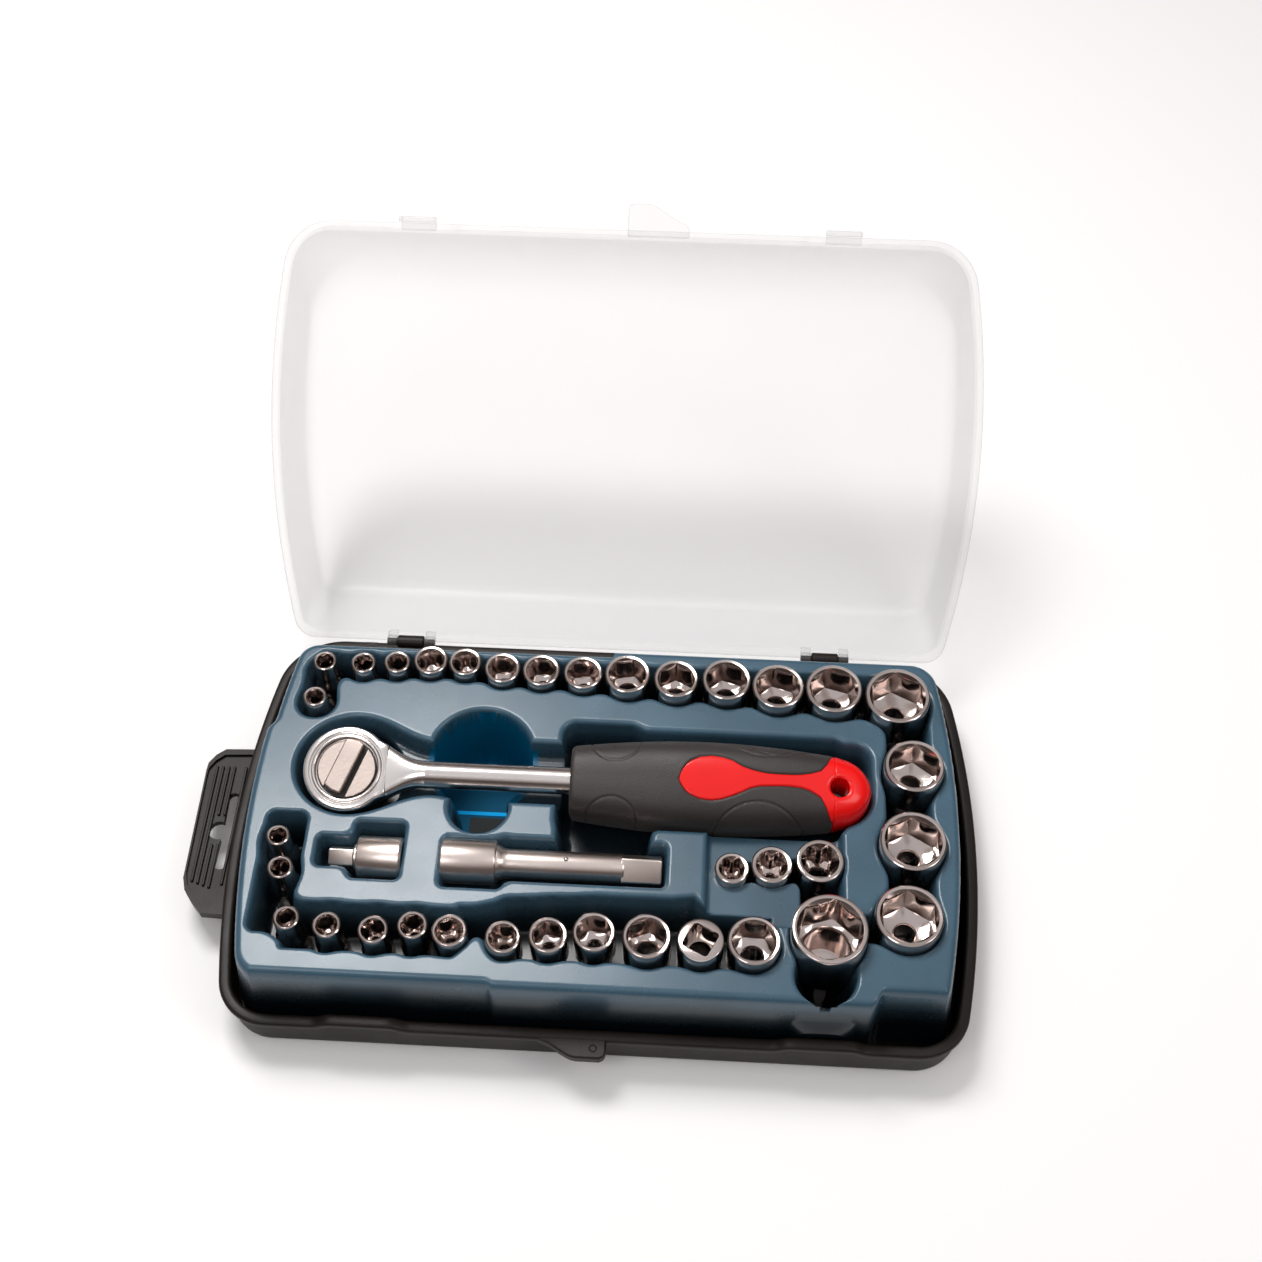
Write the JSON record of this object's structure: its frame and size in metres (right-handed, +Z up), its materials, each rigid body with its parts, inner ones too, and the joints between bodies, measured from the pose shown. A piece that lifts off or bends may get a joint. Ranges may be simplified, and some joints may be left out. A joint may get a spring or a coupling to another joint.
{
  "type": "socket wrench set in case",
  "caption": "Hinged case with a clear lid and formed tray holding a ratchet wrench, extension bar, drive adapter and sockets.",
  "frame": {"origin": "middle of the base's underside", "axes": "+X to the right, +Y towards the hinge, +Z up; the lid is open at rest"},
  "size_m": [0.3073, 0.3089, 0.1606],
  "materials": {
    "black_plastic": "fine moulded texture",
    "tray_plastic": "formed sheet, semi-gloss",
    "lid_plastic": "clear, slightly milky",
    "chrome_plate": "mirror plated",
    "steel": "machined",
    "grip_dark": "matt soft skin",
    "grip_red": "gloss",
    "label": "printed card"
  },
  "bodies": {
    "case": {"base_shell": "black_plastic", "tray_rim": "tray_plastic", "tray_channel": "tray_plastic", "tray_island_left": "tray_plastic", "tray_island_right": "tray_plastic", "floor_label": "label", "hinge_pins": "black_plastic"},
    "lid": {"lid_shell": "lid_plastic"},
    "ratchet": {"ratchet_body": "chrome_plate", "retaining_ring": "steel", "grip_rubber": "grip_dark", "grip_core": "grip_red"},
    "drive": {"drive_gear": "chrome_plate", "drive_ball": "steel", "drive_ball_spring": "steel"},
    "dial": {"reverse_dial": "chrome_plate", "selector_ball": "steel", "selector_spring": "steel"},
    "pawl": {"pawl": "steel"},
    "extension": {"extension_bar": "chrome_plate", "extension_ball": "steel", "extension_ball_spring": "steel"},
    "adapter": {"drive_adapter": "chrome_plate", "adapter_ball": "steel", "adapter_ball_spring": "steel"},
    "socket_back_1": {"socket_back_1": "chrome_plate"},
    "socket_back_2": {"socket_back_2": "chrome_plate"},
    "socket_back_3": {"socket_back_3": "chrome_plate"},
    "socket_back_4": {"socket_back_4": "chrome_plate"},
    "socket_back_5": {"socket_back_5": "chrome_plate"},
    "socket_back_6": {"socket_back_6": "chrome_plate"},
    "socket_back_7": {"socket_back_7": "chrome_plate"},
    "socket_back_8": {"socket_back_8": "chrome_plate"},
    "socket_back_9": {"socket_back_9": "chrome_plate"},
    "socket_back_10": {"socket_back_10": "chrome_plate"},
    "socket_back_11": {"socket_back_11": "chrome_plate"},
    "socket_back_12": {"socket_back_12": "chrome_plate"},
    "socket_back_13": {"socket_back_13": "chrome_plate"},
    "socket_back_14": {"socket_back_14": "chrome_plate"},
    "socket_front_1": {"socket_front_1": "chrome_plate"},
    "socket_front_2": {"socket_front_2": "chrome_plate"},
    "socket_front_3": {"socket_front_3": "chrome_plate"},
    "socket_front_4": {"socket_front_4": "chrome_plate"},
    "socket_front_5": {"socket_front_5": "chrome_plate"},
    "socket_front_6": {"socket_front_6": "chrome_plate"},
    "socket_front_7": {"socket_front_7": "chrome_plate"},
    "socket_front_8": {"socket_front_8": "chrome_plate"},
    "socket_front_9": {"socket_front_9": "chrome_plate"},
    "socket_front_10": {"socket_front_10": "chrome_plate"},
    "socket_front_11": {"socket_front_11": "chrome_plate"},
    "socket_left_1": {"socket_left_1": "chrome_plate"},
    "socket_left_2": {"socket_left_2": "chrome_plate"},
    "socket_left_3": {"socket_left_3": "chrome_plate"},
    "socket_right_1": {"socket_right_1": "chrome_plate"},
    "socket_right_2": {"socket_right_2": "chrome_plate"},
    "socket_right_3": {"socket_right_3": "chrome_plate"},
    "socket_star_1": {"socket_star_1": "chrome_plate"},
    "socket_star_2": {"socket_star_2": "chrome_plate"},
    "socket_star_3": {"socket_star_3": "chrome_plate"},
    "socket_spark_plug": {"socket_spark_plug": "chrome_plate"}
  },
  "joints": [
    {"name": "lid_hinge", "type": "hinge", "parent": "case", "child": "lid", "pos_m": [0, 0.0863, 0.0203], "axis": [-1, 0, 0], "range_deg": [-130.05, 0]},
    {"name": "ratchet_lift", "type": "slide", "parent": "case", "child": "ratchet", "axis": [0, 0, 1], "range_m": [0, 0.04]},
    {"name": "drive_spin", "type": "hinge", "parent": "ratchet", "child": "drive", "pos_m": [-0.0985, 0.01186, 0.03054], "axis": [0, -0.2756, 0.9613], "continuous": true},
    {"name": "dial_turn", "type": "hinge", "parent": "ratchet", "child": "dial", "pos_m": [-0.0985, 0.00717, 0.04688], "axis": [0, -0.2756, 0.9613], "range_deg": [0, 40]},
    {"name": "pawl_swing", "type": "hinge", "parent": "ratchet", "child": "pawl", "pos_m": [-0.0877, 0.00993, 0.03727], "axis": [0, -0.2756, 0.9613], "range_deg": [-10, 0]},
    {"name": "extension_lift", "type": "slide", "parent": "case", "child": "extension", "axis": [0, 0, 1], "range_m": [0, 0.04]},
    {"name": "adapter_lift", "type": "slide", "parent": "case", "child": "adapter", "axis": [0, 0, 1], "range_m": [0, 0.04]},
    {"name": "socket_back_1_lift", "type": "slide", "parent": "case", "child": "socket_back_1", "axis": [0, 0, 1], "range_m": [0, 0.04]},
    {"name": "socket_back_2_lift", "type": "slide", "parent": "case", "child": "socket_back_2", "axis": [0, 0, 1], "range_m": [0, 0.04]},
    {"name": "socket_back_3_lift", "type": "slide", "parent": "case", "child": "socket_back_3", "axis": [0, 0, 1], "range_m": [0, 0.04]},
    {"name": "socket_back_4_lift", "type": "slide", "parent": "case", "child": "socket_back_4", "axis": [0, 0, 1], "range_m": [0, 0.04]},
    {"name": "socket_back_5_lift", "type": "slide", "parent": "case", "child": "socket_back_5", "axis": [0, 0, 1], "range_m": [0, 0.04]},
    {"name": "socket_back_6_lift", "type": "slide", "parent": "case", "child": "socket_back_6", "axis": [0, 0, 1], "range_m": [0, 0.04]},
    {"name": "socket_back_7_lift", "type": "slide", "parent": "case", "child": "socket_back_7", "axis": [0, 0, 1], "range_m": [0, 0.04]},
    {"name": "socket_back_8_lift", "type": "slide", "parent": "case", "child": "socket_back_8", "axis": [0, 0, 1], "range_m": [0, 0.04]},
    {"name": "socket_back_9_lift", "type": "slide", "parent": "case", "child": "socket_back_9", "axis": [0, 0, 1], "range_m": [0, 0.04]},
    {"name": "socket_back_10_lift", "type": "slide", "parent": "case", "child": "socket_back_10", "axis": [0, 0, 1], "range_m": [0, 0.04]},
    {"name": "socket_back_11_lift", "type": "slide", "parent": "case", "child": "socket_back_11", "axis": [0, 0, 1], "range_m": [0, 0.04]},
    {"name": "socket_back_12_lift", "type": "slide", "parent": "case", "child": "socket_back_12", "axis": [0, 0, 1], "range_m": [0, 0.04]},
    {"name": "socket_back_13_lift", "type": "slide", "parent": "case", "child": "socket_back_13", "axis": [0, 0, 1], "range_m": [0, 0.04]},
    {"name": "socket_back_14_lift", "type": "slide", "parent": "case", "child": "socket_back_14", "axis": [0, 0, 1], "range_m": [0, 0.04]},
    {"name": "socket_front_1_lift", "type": "slide", "parent": "case", "child": "socket_front_1", "axis": [0, 0, 1], "range_m": [0, 0.04]},
    {"name": "socket_front_2_lift", "type": "slide", "parent": "case", "child": "socket_front_2", "axis": [0, 0, 1], "range_m": [0, 0.04]},
    {"name": "socket_front_3_lift", "type": "slide", "parent": "case", "child": "socket_front_3", "axis": [0, 0, 1], "range_m": [0, 0.04]},
    {"name": "socket_front_4_lift", "type": "slide", "parent": "case", "child": "socket_front_4", "axis": [0, 0, 1], "range_m": [0, 0.04]},
    {"name": "socket_front_5_lift", "type": "slide", "parent": "case", "child": "socket_front_5", "axis": [0, 0, 1], "range_m": [0, 0.04]},
    {"name": "socket_front_6_lift", "type": "slide", "parent": "case", "child": "socket_front_6", "axis": [0, 0, 1], "range_m": [0, 0.04]},
    {"name": "socket_front_7_lift", "type": "slide", "parent": "case", "child": "socket_front_7", "axis": [0, 0, 1], "range_m": [0, 0.04]},
    {"name": "socket_front_8_lift", "type": "slide", "parent": "case", "child": "socket_front_8", "axis": [0, 0, 1], "range_m": [0, 0.04]},
    {"name": "socket_front_9_lift", "type": "slide", "parent": "case", "child": "socket_front_9", "axis": [0, 0, 1], "range_m": [0, 0.04]},
    {"name": "socket_front_10_lift", "type": "slide", "parent": "case", "child": "socket_front_10", "axis": [0, 0, 1], "range_m": [0, 0.04]},
    {"name": "socket_front_11_lift", "type": "slide", "parent": "case", "child": "socket_front_11", "axis": [0, 0, 1], "range_m": [0, 0.04]},
    {"name": "socket_left_1_lift", "type": "slide", "parent": "case", "child": "socket_left_1", "axis": [0, 0, 1], "range_m": [0, 0.04]},
    {"name": "socket_left_2_lift", "type": "slide", "parent": "case", "child": "socket_left_2", "axis": [0, 0, 1], "range_m": [0, 0.04]},
    {"name": "socket_left_3_lift", "type": "slide", "parent": "case", "child": "socket_left_3", "axis": [0, 0, 1], "range_m": [0, 0.04]},
    {"name": "socket_right_1_lift", "type": "slide", "parent": "case", "child": "socket_right_1", "axis": [0, 0, 1], "range_m": [0, 0.04]},
    {"name": "socket_right_2_lift", "type": "slide", "parent": "case", "child": "socket_right_2", "axis": [0, 0, 1], "range_m": [0, 0.04]},
    {"name": "socket_right_3_lift", "type": "slide", "parent": "case", "child": "socket_right_3", "axis": [0, 0, 1], "range_m": [0, 0.04]},
    {"name": "socket_star_1_lift", "type": "slide", "parent": "case", "child": "socket_star_1", "axis": [0, 0, 1], "range_m": [0, 0.04]},
    {"name": "socket_star_2_lift", "type": "slide", "parent": "case", "child": "socket_star_2", "axis": [0, 0, 1], "range_m": [0, 0.04]},
    {"name": "socket_star_3_lift", "type": "slide", "parent": "case", "child": "socket_star_3", "axis": [0, 0, 1], "range_m": [0, 0.04]},
    {"name": "socket_spark_plug_lift", "type": "slide", "parent": "case", "child": "socket_spark_plug", "axis": [0, 0, 1], "range_m": [0, 0.06]}
  ],
  "couplings": [
    {"joint": "pawl_swing", "follows": "dial_turn", "ratio": -0.25}
  ]
}
